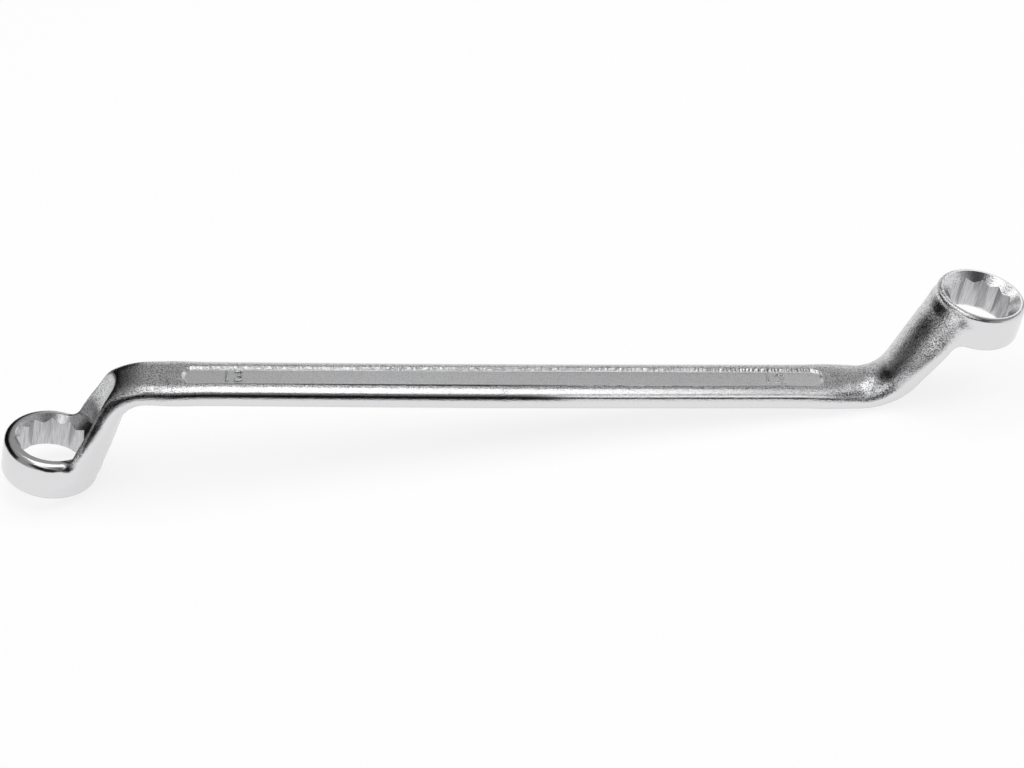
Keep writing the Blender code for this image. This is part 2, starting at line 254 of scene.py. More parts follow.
class SpannerFinish(PropertyGroup):
    """Colours and textures of the plated surfaces."""

    chrome: colour("Chrome", "Colour of the plate", (0.74, 0.74, 0.75))
    roughness: share("Roughness", "Roughness of the sharp part of the shine", 0.14)
    soft_roughness: share("Soft roughness", "Roughness of the soft part of the shine", 0.29)
    softness: share("Softness", "Share of the soft part in the shine", 0.27)
    # The pit colour darkens the broach's lines, the lead-ins' lumps and the panel's pits at random. On the
    # blasted skin it is painted shade, put only on faces that lean up to the overhead softbox.
    pit: colour("Pit", "Colour in the pits of the plate", (0.27, 0.27, 0.275))
    pit_low: amount("Pit low", "Height below which a pit is darkest", 0.38)
    pit_high: amount("Pit high", "Height above which the plate is clear", 0.54)
    pit_shade_lean_low: amount("Pit turn low", "Upward lean of a face below which it has no pits", 0.05)
    pit_shade_lean_high: amount("Pit turn high", "Upward lean of a face above which its pits are full", 0.3)
    bore_chrome: colour("Bore chrome", "Colour of the thin plate in the bores", (0.66, 0.66, 0.67))
    bore_roughness: share("Bore roughness", "Roughness of the broached facets", 0.34)
    panel_roughness: share("Panel roughness", "Roughness of the sunk panel", 0.40)
    panel_pits: share("Panel pits", "Strength of the pits on the panel's floor", 0.3)
    pebble: length("Pebble", "Width of the skin's pebbles", 0.28)
    pebble_depth: length("Pebble depth", "Depth of the skin's pebbles", 0.07)
    ground_depth: share("Ground depth", "Share of the pebbles left where the skin is ground", 0.08)
    cut_depth: share("Cut depth", "Share of the pebbles' depth on the lead-ins and the panel", 0.5)
    lump_low: amount("Lump low", "Height below which a lead-in is darkest", 0.3)
    lump_high: amount("Lump high", "Height above which a lead-in is clear", 0.5)
    tick: length("Tick", "Width of the ticks across the panel's walls", 0.4)
    tick_depth: length("Tick depth", "Depth of the ticks across the panel's walls", 0.15)
    tick_stretch: share("Tick stretch", "Width of a tick over its length", 0.3)
    wave: length("Wave", "Width of the skin's shallow hammer waves", 3.0)
    wave_depth: length("Wave depth", "Depth of the skin's shallow hammer waves", 0.012)
    streak: length("Streak", "Width of the broach's lines in the bores", 0.1)
    streak_depth: length("Streak depth", "Depth of the broach's lines in the bores", 0.006)
    streak_stretch: share("Streak stretch", "Width of a broach's line over its length", 0.03)
    streak_low: amount("Streak low", "Height below which a broach's line is darkest", 0.2)
    streak_high: amount("Streak high", "Height above which a facet is clear", 0.6)


class StageSettings(PropertyGroup):
    """Camera and studio."""

    lens: amount("Lens", "Focal length in millimetres on a sensor 36 mm wide", 100.51)
    distance: length("Distance", "From the camera to the point it looks at", 591.4)
    elevation: angle("Elevation", "Camera's height over the horizon", 37.07)
    azimuth: angle("Azimuth", "Camera's turn to the right of the spanner's front", 3.13)
    roll: angle("Roll", "Camera's turn about its own line of sight", -7.875)
    target_x: length("Target along", "Point looked at, to the right of the spanner's middle", 1.26)
    target_z: length("Target height", "Point looked at, over the floor", 12.55)
    floor: colour("Floor", "Colour of the floor", (0.92, 0.92, 0.92))
    floor_glow: share("Floor glow", "Share of the floor that looks white of itself", 0.8)
    floor_size: length("Floor size", "Half the width of the floor", 2000.0)
    softbox: amount("Softbox", "Brightness of the overhead softbox", 1.4)
    softbox_width: length("Softbox width", "Width of the overhead softbox", 330.0)
    softbox_depth: length("Softbox depth", "Depth of the overhead softbox, front to back", 510.0)
    softbox_height: length("Softbox height", "Height of the overhead softbox", 600.0)
    softbox_x: length("Softbox along", "From the spanner's middle to the softbox, to the right", 40.0)
    softbox_y: length("Softbox back", "From the spanner's middle to the softbox, to the back", 55.0)
    floor_light: amount("Floor light", "Brightness of the softbox that the plate doesn't mirror", 1.5)
    floor_light_width: length("Floor light width", "Width of that softbox, and its depth", 2000.0)
    floor_light_height: length("Floor light height", "Height of that softbox", 1500.0)
    walls: amount("Walls", "Brightness of the room round the table", 0.33)


# Shape of the forging, as a field that is negative inside the metal

def smooth_step(part):
    part = np.clip(part, 0.0, 1.0)
    return part * part * (3.0 - 2.0 * part)


def mix(first, second, part):
    return first + (second - first) * part


def blend(first, second, reach):
    """Join two solids with a soft fillet."""
    near = np.maximum(reach - np.abs(first - second), 0.0) / reach
    return np.minimum(first, second) - near * near * reach / 4


def rounded(first, second, corner):
    """What two solids share, with the edge between them rounded off."""
    first = first + corner
    second = second + corner
    outside = np.hypot(np.maximum(first, 0.0), np.maximum(second, 0.0))
    return outside + np.minimum(np.maximum(first, second), 0.0) - corner


def placed(right, ahead, up, place):
    """Matrix that carries X, Y and Z to three directions, and the origin to a place."""
    return Matrix(((*right, 0), (*ahead, 0), (*up, 0), (*place, 1))).transposed()


class Head:
    """Places of one ring and its neck, all in the layout of the 12 mm end.

    The 13 mm end is the same layout turned half round about Y, so its side is -1. A neck's
    heel is its side away from the bore, its throat the side that faces the bore's axis.
    """

    def __init__(self, bar, ring, side):
        self.bar = bar
        self.side = side
        self.height = ring.height
        self.bore_turn = ring.bore_turn
        flats = ring.across_flats + bar.bore_clearance
        self.groove = flats / sqrt(3)
        self.ridge = flats / 2 / cos(pi / BORE_POINTS)
        self.outer = self.groove + ring.wall
        self.slope = ring.neck_slope
        self.centre = Vector((ring.reach, 0, ring.rise))
        self.along = Vector((cos(bar.head_tilt), 0, -sin(bar.head_tilt)))
        self.axis = Vector((sin(bar.head_tilt), 0, cos(bar.head_tilt)))
        lean = self.slope + bar.head_tilt
        throat_to_axis = bar.neck_to_bore - bar.neck_thickness / 2 / sin(lean)
        self.throat_half = sqrt(self.outer ** 2 - throat_to_axis ** 2)
        self.land = self.groove + bar.lead_in_width + bar.rim_land
        self.neck_end = self.height / 2 - self.outer + self.land
        middle_to_axis = bar.neck_to_bore - (self.neck_end + self.height / 2) / tan(lean)
        self.heel = (self.outer - bar.heel_inset - middle_to_axis) * sin(lean)
        self.root = self.centre - self.axis * self.height / 2 - self.along * bar.neck_to_bore
        self.run = Vector((cos(self.slope), 0, sin(self.slope)))
        corner_x = self.root.x - self.root.z / tan(self.slope)
        bend_reach = bar.bend_radius * tan(self.slope / 2)
        self.bend_start = corner_x - bend_reach
        self.bend_end = Vector((corner_x, 0, 0)) + self.run * bend_reach
        self.bend_length = bar.bend_radius * self.slope
        self.neck_top = self.bend_length + (self.root - self.bend_end).length
        self.panel_end = self.bend_start - bar.panel_margin
        self.back_shift = ring.back_shift

    def frame(self):
        """Matrix that carries a ring modelled about Z, working face up, to its place."""
        return self.turn() @ placed(self.along, (0, 1, 0), self.axis, self.centre)

    def turn(self):
        """Turn from the layout of the 12 mm end to this end."""
        return Matrix.Identity(4) if self.side > 0 else Matrix.Rotation(pi, 4, "Y")

    def follow(self, x, z):
        """How far a point lies along the bar's middle line past the bend's start, and off it."""
        radius = self.bar.bend_radius
        past = x - self.bend_start
        bent = np.arctan2(past, radius - z)
        ahead_x = x - self.bend_end.x
        ahead_z = z - self.bend_end.z
        neck_on = self.bend_length + ahead_x * self.run.x + ahead_z * self.run.z
        neck_off = ahead_z * self.run.x - ahead_x * self.run.z
        on_shank = past <= 0
        on_bend = bent <= self.slope
        on = np.where(on_shank, past, np.where(on_bend, radius * bent, neck_on))
        bend_off = radius - np.hypot(past, radius - z)
        off = np.where(on_shank, z, np.where(on_bend, bend_off, neck_off))
        return on, off

    def bar_field(self, x, y, z):
        """The shank, bend and neck, swept along their middle line.

        A neck's heel is the ring's own round wall, carried down the neck as a crown.
        """
        bar = self.bar
        on, off = self.follow(x, z)
        bent = smooth_step(on / self.bend_length)
        flare = smooth_step(np.clip(on / self.neck_top, 0, 1) ** bar.neck_flare)
        crowned = smooth_step((on + bar.crown_start) / bar.crown_run)
        curve = crowned / self.outer
        crest = bar.shank_thickness / 2 + crowned * bar.crown_rise
        over = off - mix(crest, self.heel, flare)
        heel = (curve * (y * y + over * over) + 2 * over) / (np.hypot(curve * over + 1, curve * y) + 1)
        throat = -off - mix(bar.shank_thickness, bar.neck_thickness, bent) / 2
        side = mix(bar.shank_side, bar.neck_side, flare)
        out = np.abs(y) - mix(bar.shank_width / 2, self.throat_half, flare) + side
        flank = np.hypot(np.maximum(out, 0), off) - side
        section = rounded(heel, flank, mix(bar.shank_edge, bar.heel_edge, flare))
        return rounded(section, throat, mix(bar.shank_edge, bar.neck_edge, flare))

    def ring_place(self, x, y, z):
        """Distance from the ring's axis, and height over its middle towards the working face."""
        x = x - self.centre.x
        z = z - self.centre.z
        across = x * self.along.x + z * self.along.z
        return np.hypot(across, y), x * self.axis.x + z * self.axis.z

    def ring_field(self, radius, up):
        """The ring before it is bored."""
        bar = self.bar
        corner = np.where(up > 0, self.outer - self.land, bar.back_round)
        wall = self.outer + bar.wall_barrel * np.cos(pi * up / self.height)
        return rounded(radius - wall, np.abs(up) - self.height / 2, corner)

    def relief_field(self, radius, up):
        """The hollow that keeps the neck clear of the bore."""
        bar = self.bar
        wall = self.groove + bar.relief_width - (up + self.height / 2) * tan(bar.relief_draft)
        return (radius - wall) * cos(bar.relief_draft)

    def field(self, x, y, z):
        """Neck and ring together, softly joined except near the working face."""
        bar = self.bar
        radius, up = self.ring_place(x, y, z)
        neck = np.maximum(self.bar_field(x, y, z), up - self.neck_end)
        neck = -blend(-neck, self.relief_field(radius, up), bar.relief_edge)
        near_face = smooth_step((up - self.neck_end + FILLET_FADE) / FILLET_FADE)
        reach = bar.neck_fillet * mix(1.0, FILLET_LEAST, near_face)
        return blend(neck, self.ring_field(radius, up), reach) + bar.skin_inset


def forging_field(heads, x, y, z):
    """Field of the whole forging at any points, before its cuts."""
    x, y, z = np.broadcast_arrays(x, y, z)
    field = np.empty(x.shape)
    left, right = heads
    for head, mine in ((left, x <= 0), (right, x > 0)):
        field[mine] = head.field(head.side * x[mine], y[mine], head.side * z[mine])
    return field


# Skin of the forging: a net of points settled on the field's surface

def grid_line(low, high, step):
    return np.linspace(low, high, max(2, round((high - low) / step) + 1))


def skin_grid(heads, sizes):
    """Grid lines round the forging, closer at the ends than along the shank."""
    end_room = 2 * MM
    side_room = 1 * MM
    fine_lead = 3 * MM
    reach = max(head.centre.x + head.outer for head in heads) + end_room
    rise = max(head.centre.z + head.height for head in heads)
    half_width = max(head.outer for head in heads) + side_room
    fine = min(head.bend_start for head in heads) - fine_lead
    ends = grid_line(fine, reach, sizes.grain)
    shank = grid_line(-fine, fine, sizes.shank_grain)
    xs = np.unique(np.concatenate((-ends, shank, ends)))
    return xs, grid_line(-half_width, half_width, sizes.grain), grid_line(-rise, rise, sizes.grain)


def net_faces(inside, index):
    """Four-sided faces across every grid edge that goes from inside the metal to outside."""
    quads = []
    for axis in range(3):
        second, third = (axis + 1) % 3, (axis + 2) % 3
        lower = np.delete(inside, -1, axis)
        upper = np.delete(inside, 0, axis)
        nodes = np.argwhere(lower != upper)
        cells = []
        for step_second, step_third in ((-1, -1), (0, -1), (0, 0), (-1, 0)):
            cell = nodes.copy()
            cell[:, second] += step_second
            cell[:, third] += step_third
            cells.append(index[tuple(cell.T)])
        quad = np.stack(cells, axis=1)
        flip = ~lower[tuple(nodes.T)]
        quad[flip] = quad[flip, ::-1]
        quads.append(quad)
    return np.concatenate(quads)


def settle(points, field, step):
    """Move points on to the surface where the field is zero."""
    nudge = 0.01 * MM
    least_slope = 0.1
    for _ in range(SETTLE_STEPS):
        value = field(*points.T)
        slopes = []
        for shift in np.eye(3) * nudge:
            slopes.append((field(*(points + shift).T) - field(*(points - shift).T)) / (2 * nudge))
        slope = np.stack(slopes, axis=1)
        move = -slope * (value / np.maximum((slope ** 2).sum(1), least_slope))[:, None]
        points = points + np.clip(move, -step, step)
    return points


def skin_mesh(heads, sizes):
    """Mesh of the forging's outer skin."""
    xs, ys, zs = skin_grid(heads, sizes)
    plane_y, plane_z = np.meshgrid(ys, zs, indexing="ij")
    inside = np.stack([forging_field(heads, x, plane_y, plane_z) < 0 for x in xs])
    corners = [slice(0, -1), slice(1, None)]
    count = sum(inside[place].astype(np.int8) for place in product(corners, repeat=3))
    active = (count > 0) & (count < 8)
    cells = np.argwhere(active)
    index = np.full(active.shape, -1)
    index[active] = np.arange(len(cells))
    middles = [(line[:-1] + line[1:]) / 2 for line in (xs, ys, zs)]
    points = np.stack([middle[column] for middle, column in zip(middles, cells.T)], axis=1)
    points = settle(points, lambda *place: forging_field(heads, *place), sizes.grain)
    mesh = bpy.data.meshes.new("forging_skin")
    mesh.from_pydata(points.tolist(), [], net_faces(inside, index).tolist())
    return mesh


# Cutters, each modelled about Z with the working face up

def turned(profile):
    """Turn a (radius, height) profile that starts and ends on the axis about Z."""
    bm = bmesh.new()
    verts = [bm.verts.new((radius, 0, height)) for radius, height in profile]
    edges = [bm.edges.new(pair) for pair in zip(verts, verts[1:])]
    bmesh.ops.spin(
        bm, geom=verts + edges, cent=(0, 0, 0), axis=(0, 0, 1),
        angle=2 * pi, steps=TURN_STEPS, use_merge=True,
    )
    bmesh.ops.remove_doubles(bm, verts=bm.verts, dist=MERGE_DISTANCE)
    return bm


def loft(sections):
    """Skin a closed solid over outlines that all have the same number of points."""
    bm = bmesh.new()
    rings = [[bm.verts.new(point) for point in section] for section in sections]
    count = len(rings[0])
    for lower, upper in zip(rings, rings[1:]):
        for i in range(count):
            j = (i + 1) % count
            bm.faces.new((lower[i], lower[j], upper[j], upper[i]))
    bm.faces.new(rings[0])
    bm.faces.new(rings[-1])
    return bm


def bore_shape(head):
    """Twelve-point prism with slightly rounded edges, through the ring and clear of the neck."""
    reach = head.height + CUT_OVERRUN
    points = []
    for i in range(2 * BORE_POINTS):
        turn = head.bore_turn + pi * i / BORE_POINTS
        radius = head.groove if i % 2 == 0 else head.ridge
        points.append((radius * cos(turn), radius * sin(turn)))
    bm = loft([[(x, y, z) for x, y in points] for z in (-reach, reach)])
    upright = [edge for edge in bm.edges if abs(edge.verts[0].co.z - edge.verts[1].co.z) > reach]
    bmesh.ops.bevel(
        bm, geom=upright, offset=head.bar.bore_edge, segments=2, profile=0.5, affect="EDGES"
    )
    return bm


def lead_in_shape(head):
    """Wide cone that guides the ring on to a nut, cut into the working face."""
    bar = head.bar
    half = head.height / 2
    slope = bar.lead_in_depth / bar.lead_in_width
    rim = head.groove + bar.lead_in_width
    inner = head.ridge - CUT_OVERRUN
    floor = half - (rim - inner) * slope
    top = half + CUT_OVERRUN
    return turned([(0, top), (rim + CUT_OVERRUN / slope, top), (inner, floor), (0, floor)])


def back_shape(head):
    """Chamfer of the bore on the shank's side, ground a little off the bore's axis."""
    bar = head.bar
    half = head.height / 2
    rim = head.groove + bar.back_chamfer
    inner = head.ridge - CUT_OVERRUN
    start = rim - inner - half
    depth = CUT_OVERRUN
    bm = turned([(0, start), (inner, start), (rim + depth, -half - depth), (0, -half - depth)])
    bmesh.ops.translate(bm, verts=bm.verts, vec=(0, head.back_shift, 0))
    return bm


def panel_floor(sizes):
    """Height of the upper panel's floor over the middle of the bar."""
    return sizes.shank_thickness / 2 - sizes.panel_depth


def panel_outline(sizes, start, stop, inset):
    """Long panel with rounded ends, as (x, y), drawn in by the inset."""
    steps = 24
    half = sizes.panel_width / 2 - inset
    end = sizes.panel_end_round - inset
    outline = []
    for tip, side in ((stop, 1), (start, -1)):
        centre = tip - side * sizes.panel_end_round
        for i in range(steps + 1):
            turn = -pi / 2 + pi * i / steps
            outline.append((centre + side * end * cos(turn), side * half * sin(turn)))
    return outline


def panel_shape(sizes, start, stop):
    """Shallow panel with sloping walls, soft at its foot and its rim, for the upper broad face."""
    steps = 5
    radius = sizes.panel_rim
    slope = sizes.panel_slope
    foot_rise = radius * (1 - cos(slope))
    wall_rise = sizes.panel_depth - 2 * foot_rise
    levels = []
    for i in range(steps + 1):
        turn = slope * i / steps
        levels.append((radius * sin(turn), radius * (1 - cos(turn))))
    wall_top = levels[-1][0] + wall_rise / tan(slope)
    for i in range(steps):
        turn = slope * (1 - i / steps)
        levels.append((
            wall_top + radius * (sin(slope) - sin(turn)),
            sizes.panel_depth - radius * (1 - cos(turn)),
        ))
    out, rise = levels[-1]
    levels.append((out + CUT_OVERRUN, rise + CUT_OVERRUN * tan(slope / steps)))
    levels.append((out + CUT_OVERRUN, rise + CUT_OVERRUN))
    rim_rise = sizes.panel_depth - radius * (1 - cos(slope / steps))
    rim = next(out for out, rise in levels if rise > rim_rise)
    sections = []
    for out, rise in levels:
        outline = panel_outline(sizes, start, stop, rim - out)
        sections.append([(x, y, panel_floor(sizes) + rise) for x, y in outline])
    return loft(sections)


def number_shape(text, sizes):
    """A size number as a raised block with bevelled edges, standing on the panel's floor."""
    bevel = 0.2 * MM
    curve = bpy.data.curves.new(f"number_{text}", "FONT")
    curve.body = text
    curve.align_x = "CENTER"
    curve.align_y = "CENTER"
    curve.size = sizes.number_height / DIGIT_SHARE
    curve.extrude = sizes.number_rise - bevel
    curve.bevel_depth = bevel
    curve.bevel_resolution = 3
    curve.offset = -bevel / 2
    text_object = bpy.data.objects.new(f"number_{text}", curve)
    bm = bmesh.new()
    mesh = bpy.data.meshes.new_from_object(text_object)
    bm.from_mesh(mesh)
    bmesh.ops.remove_doubles(bm, verts=bm.verts, dist=MERGE_DISTANCE)
    bpy.data.objects.remove(text_object)
    bpy.data.curves.remove(curve)
    bpy.data.meshes.remove(mesh)
    return bm


# Shader nodes

class Wire:
    """One output of a shader node. Arithmetic on it adds Math nodes to its tree."""

    def __init__(self, tree, socket=None):
        self.tree = tree
        self.socket = socket

    def add(self, kind, settings=None, values=None, output=0):
        """Add a node: first its settings, then the values or wires of its sockets."""
        node = self.tree.nodes.new(kind)
        for key, value in (settings or {}).items():
            setattr(node, key, value)
        for key, value in (values or {}).items():
            if isinstance(value, Wire):
                self.link(value, node.inputs[key])
            else:
                node.inputs[key].default_value = value
        return Wire(self.tree, node.outputs[output])

    def link(self, wire, socket):
        self.tree.links.new(wire.socket, socket)

    def math(self, operation, first, second):
        return self.add("ShaderNodeMath", {"operation": operation}, {0: first, 1: second})

    def __add__(self, other):
        return self.math("ADD", self, other)

    def __radd__(self, other):
        return self.math("ADD", other, self)

    def __sub__(self, other):
        return self.math("SUBTRACT", self, other)

    def __rsub__(self, other):
        return self.math("SUBTRACT", other, self)

    def __mul__(self, other):
        return self.math("MULTIPLY", self, other)

    def __rmul__(self, other):
        return self.math("MULTIPLY", other, self)

    def noise(self, place, width, detail):
        """Soft lumps of the given width, from 0 to 1."""
        return self.add("ShaderNodeTexNoise", None, {"Vector": place, "Scale": 1 / width, "Detail": detail})

    def bump(self, height):
        """Normals of a surface that is raised by a height in metres."""
        return self.add("ShaderNodeBump", None, {"Height": height, "Distance": 1.0})

    def mix(self, part, first, second):
        """A colour between two plain ones."""
        values = {0: part, 6: (*first, 1.0), 7: (*second, 1.0)}
        return self.add("ShaderNodeMix", {"data_type": "RGBA"}, values, output=2)

    def stretch(self, place, scale):
        """A place with each of its parts multiplied by a number."""
        return self.add("ShaderNodeVectorMath", {"operation": "MULTIPLY"}, {0: place, 1: scale})

    def over(self, low, high):
        """Share of the way from a low value to a high one, smoothly, within 0 and 1."""
        settings = {"interpolation_type": "SMOOTHSTEP"}
        return self.add("ShaderNodeMapRange", settings, {0: self, 1: low, 2: high})


def plated(name, surface, finish):
    """A chrome material. Its shine has a sharp and a soft part, as satin plate has."""
    material = bpy.data.materials.new(name)
    material.use_nodes = True
    tree = Wire(material.node_tree)
    sharp = {"Metallic": 1.0, "Base Color": (*finish.chrome, 1.0), "Roughness": finish.roughness}
    sharp.update(surface(tree, tree.add("ShaderNodeTexCoord", output="Object"), finish))
    soft = {**sharp, "Roughness": finish.soft_roughness}
    shines = [tree.add("ShaderNodeBsdfPrincipled", None, values) for values in (sharp, soft)]
    both = tree.add("ShaderNodeMixShader", None, {0: finish.softness, 1: shines[0], 2: shines[1]})
    tree.link(both, material.node_tree.nodes["Material Output"].inputs["Surface"])
    return material


def pebbled(tree, place, finish):
    """Height of the blasted skin's pebbles, and darkness of the pits between them."""
    pebbles = tree.noise(place, finish.pebble, 1.0)
    return pebbles, 1 - pebbles.over(finish.pit_low, finish.pit_high)


def blasted_chrome(tree, place, finish):
    """The forging's skin: blasted to fine pits, smoother where the rings are ground."""
    blasted = tree.add("ShaderNodeAttribute", {"attribute_name": BLASTED}, output="Fac")
    pebbles, pits = pebbled(tree, place, finish)
    waves = tree.noise(place, finish.wave, 1.0)
    left = finish.ground_depth + (1 - finish.ground_depth) * blasted
    facing = tree.add("ShaderNodeTexCoord", output="Normal")
    lean = tree.add("ShaderNodeSeparateXYZ", None, {0: facing}, "Z")
    # Painted shade: the pits darken the plate only where a face leans up towards the overhead softbox
    softbox_facing = lean.over(finish.pit_shade_lean_low, finish.pit_shade_lean_high)
    plate = tree.mix(pits * left * softbox_facing, finish.chrome, finish.pit)
    height = pebbles * left * finish.pebble_depth + waves * finish.wave_depth
    return {"Base Color": plate, "Normal": tree.bump(height)}


def broached_chrome(tree, place, finish):
    """The bores' facets: dull, with fine lines that the broach left along the axis."""
    settings = {"rotation_type": "Y_AXIS"}
    upright = tree.add("ShaderNodeVectorRotate", settings, {"Vector": place, "Angle": -bore_lean()})
    lines = tree.noise(tree.stretch(upright, (1, 1, finish.streak_stretch)), finish.streak, 2.0)
    clear = lines.over(finish.streak_low, finish.streak_high)
    plate = tree.mix(clear, finish.pit, finish.bore_chrome)
    return {
        "Base Color": plate, "Roughness": finish.bore_roughness,
        "Normal": tree.bump(lines * finish.streak_depth),
    }


def turned_chrome(tree, place, finish):
    """The lead-ins and chamfers: cut after forging, so bright and only a little uneven."""
    lumps = tree.noise(place, finish.pebble, 2.0)
    plate = tree.mix(lumps.over(finish.lump_low, finish.lump_high), finish.pit, finish.chrome)
    height = lumps * (finish.pebble_depth * finish.cut_depth)
    return {"Base Color": plate, "Normal": tree.bump(height)}


def panel_chrome(tree, place, finish):
    """The sunk panel: a dull floor, and walls that the die left brighter and uneven."""
    wall = tree.add("ShaderNodeAttribute", {"attribute_name": BLASTED}, output="Fac")
    across = tree.stretch(place, (1, finish.tick_stretch, finish.tick_stretch))
    ticks = tree.noise(across, finish.tick, 0.5) * finish.tick_depth * wall
    pebbles, pits = pebbled(tree, place, finish)
    plate = tree.mix(pits * finish.panel_pits * (1 - wall), finish.chrome, finish.pit)
    dullness = finish.panel_roughness + (finish.roughness - finish.panel_roughness) * wall
    height = pebbles * (finish.pebble_depth * finish.cut_depth) + ticks
    return {"Base Color": plate, "Roughness": dullness, "Normal": tree.bump(height)}


# Pieces

def spanner_heads(scene):
    """The left end, which is the 13 mm one, and the right end."""
    return (
        Head(scene.spanner_sizes, scene.spanner_ring_13, -1),
        Head(scene.spanner_sizes, scene.spanner_ring_12, 1),
    )


def bore_lean():
    """How far the bores' axes lean from upright, towards the right."""
    face = next(mount for mount in frame["record"]["mounts"] if mount["name"] == FACE_MOUNT)
    return atan2(face["axis"][0], face["axis"][2])


def mesh_points(mesh):
    points = np.empty(len(mesh.vertices) * 3)
    mesh.vertices.foreach_get("co", points)
    return points.reshape(-1, 3)


def forge_wander(mesh, heads, sizes):
    """Let the bar sag and swell a little between its bends, as a forging does."""
    swell_reach = 4 * MM
    points = mesh_points(mesh)
    left, right = heads
    along = np.where(points[:, 0] < 0, -points[:, 0] / left.bend_start, points[:, 0] / right.bend_start)
    along = np.clip(along, 0, 1)
    points[:, 2] -= sizes.shank_bow * (1 - along ** 2) ** 2
    for place in (-left.panel_end, right.panel_end):
        near = np.exp(-((points[:, 0] - place) / swell_reach) ** 2)
        points[:, 1] *= 1 + 2 * sizes.shank_swell / sizes.shank_width * near
    mesh.vertices.foreach_set("co", points.ravel())


def mark_blasted(mesh, heads, sizes):
    """Note at each point how strongly the skin is blasted: least on the ground rings.

    A neck's side of its ring isn't ground, and the blasting grows from the shank to the bends.
    """
    ground_reach = 1.5 * MM
    ground_start = 0.9
    neck_reach = 16 * MM
    wall_foot = 0.1 * MM
    points = mesh_points(mesh)
    blasted = np.ones(len(points))
    for head in heads:
        x, y, z = head.side * points[:, 0], points[:, 1], head.side * points[:, 2]
        ring = head.ring_field(*head.ring_place(x, y, z))
        outer = (x - head.centre.x) / head.outer
        ground = smooth_step(1 - ring / ground_reach) * smooth_step(outer + ground_start)
        neck = smooth_step((x - head.bend_start) / neck_reach + 1)
        blasted *= (1 - ground) * np.where(x > 0, mix(SHANK_BLASTED, 1.0, neck), 1.0)
    in_panel = (np.abs(points[:, 0]) < heads[0].panel_end) & (np.abs(points[:, 1]) < sizes.panel_width / 2)
    wall = np.clip((np.abs(points[:, 2]) - panel_floor(sizes)) / wall_foot, 0, 1)
    blasted = np.where(in_panel, wall, blasted)
    mesh.attributes.new(BLASTED, "FLOAT", "POINT").data.foreach_set("value", blasted)


def seat(mesh, sizes):
    """Matrix that lays the forging in the packed solid's box, as far off level as its mounts."""
    turn = Matrix.Rotation(bore_lean() - sizes.head_tilt, 4, "Y")
    laid = mesh_points(mesh) @ np.array(turn.to_3x3()).T
    low, high = CAD_BOX
    middle = (low[0] + high[0] - laid[:, 0].min() - laid[:, 0].max()) / 2
    return Matrix.Translation((middle, 0, low[2] - laid[:, 2].min() + sizes.skin_inset)) @ turn


def shape_object(name, bm, matrix, slot, materials):
    """A closed shape as an object, its faces in one material slot."""
    bmesh.ops.recalc_face_normals(bm, faces=bm.faces)
    for face in bm.faces:
        face.material_index = slot
    mesh = bpy.data.meshes.new(name)
    bm.to_mesh(mesh)
    bm.free()
    for material in materials:
        mesh.materials.append(material)
    obj = bpy.data.objects.new(name, mesh)
    obj.matrix_world = matrix
    bpy.context.scene.collection.objects.link(obj)
    return obj


def cuts_and_numbers(heads, sizes, materials):
    """Shapes that are cut out of the skin or joined to it, each after its operation, in order."""
    shapes = []
    for head in heads:
        for shape, slot in ((bore_shape, BORE), (lead_in_shape, LEAD_IN), (back_shape, LEAD_IN)):
            cutter = shape_object(shape.__name__, shape(head), head.frame(), slot, materials)
            shapes.append(("DIFFERENCE", cutter))
    left, right = heads
    for turn in (0, pi):
        panel = panel_shape(sizes, -left.panel_end, right.panel_end)
        cutter = shape_object("panel", panel, Matrix.Rotation(turn, 4, "X"), PANEL, materials)
        shapes.append(("DIFFERENCE", cutter))
    for text, side in (("13", -1), ("12", 1)):
        place = Matrix.Translation((side * sizes.number_reach, 0, panel_floor(sizes)))
        number = shape_object("number", number_shape(text, sizes), place, LEAD_IN, materials)
        shapes.append(("UNION", number))
    return shapes


def combine(body, shapes):
    """Cut the shapes out of the body, or join them to it, and return its new mesh."""
    for operation, shape in shapes:
        boolean = body.modifiers.new(shape.name, "BOOLEAN")
        boolean.operation = operation
        boolean.solver = "MANIFOLD"
        boolean.object = shape
    bpy.context.view_layer.update()
    evaluated = body.evaluated_get(bpy.context.evaluated_depsgraph_get())
    mesh = bpy.data.meshes.new_from_object(evaluated)
    body.modifiers.clear()
    body.data = mesh
    for _, shape in shapes:
        bpy.data.objects.remove(shape)
    if {face.material_index for face in mesh.polygons} != {SKIN, BORE, LEAD_IN, PANEL}:
        raise RuntimeError("A cut is missing from the forging")
    return mesh


class SPANNER_OT_forging(Operator):
    """Build the forging with its bores, lead-ins, panels and size numbers"""

    bl_idname = "spanner.forging"
    bl_label = "Build forging"

    def execute(self, context):
        scene = context.scene
        sizes = scene.spanner_sizes
        heads = spanner_heads(scene)
        surfaces = (blasted_chrome, broached_chrome, turned_chrome, panel_chrome)
        materials = [plated(surface.__name__, surface, scene.spanner_finish) for surface in surfaces]
        skin = skin_mesh(heads, sizes)
        for material in materials:
            skin.materials.append(material)
        body = bpy.data.objects.new("forging", skin)
        scene.collection.objects.link(body)
        mesh = combine(body, cuts_and_numbers(heads, sizes, materials))
        mark_blasted(mesh, heads, sizes)
        forge_wander(mesh, heads, sizes)
        mesh.shade_smooth()
        mesh.set_sharp_from_angle(angle=SHARP_ANGLE)
        weighted = body.modifiers.new("weighted normals", "WEIGHTED_NORMAL")
        weighted.keep_sharp = True
        mesh.transform(seat(mesh, sizes))
        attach(body, BODY)
        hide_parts(NODE)
        return {"FINISHED"}


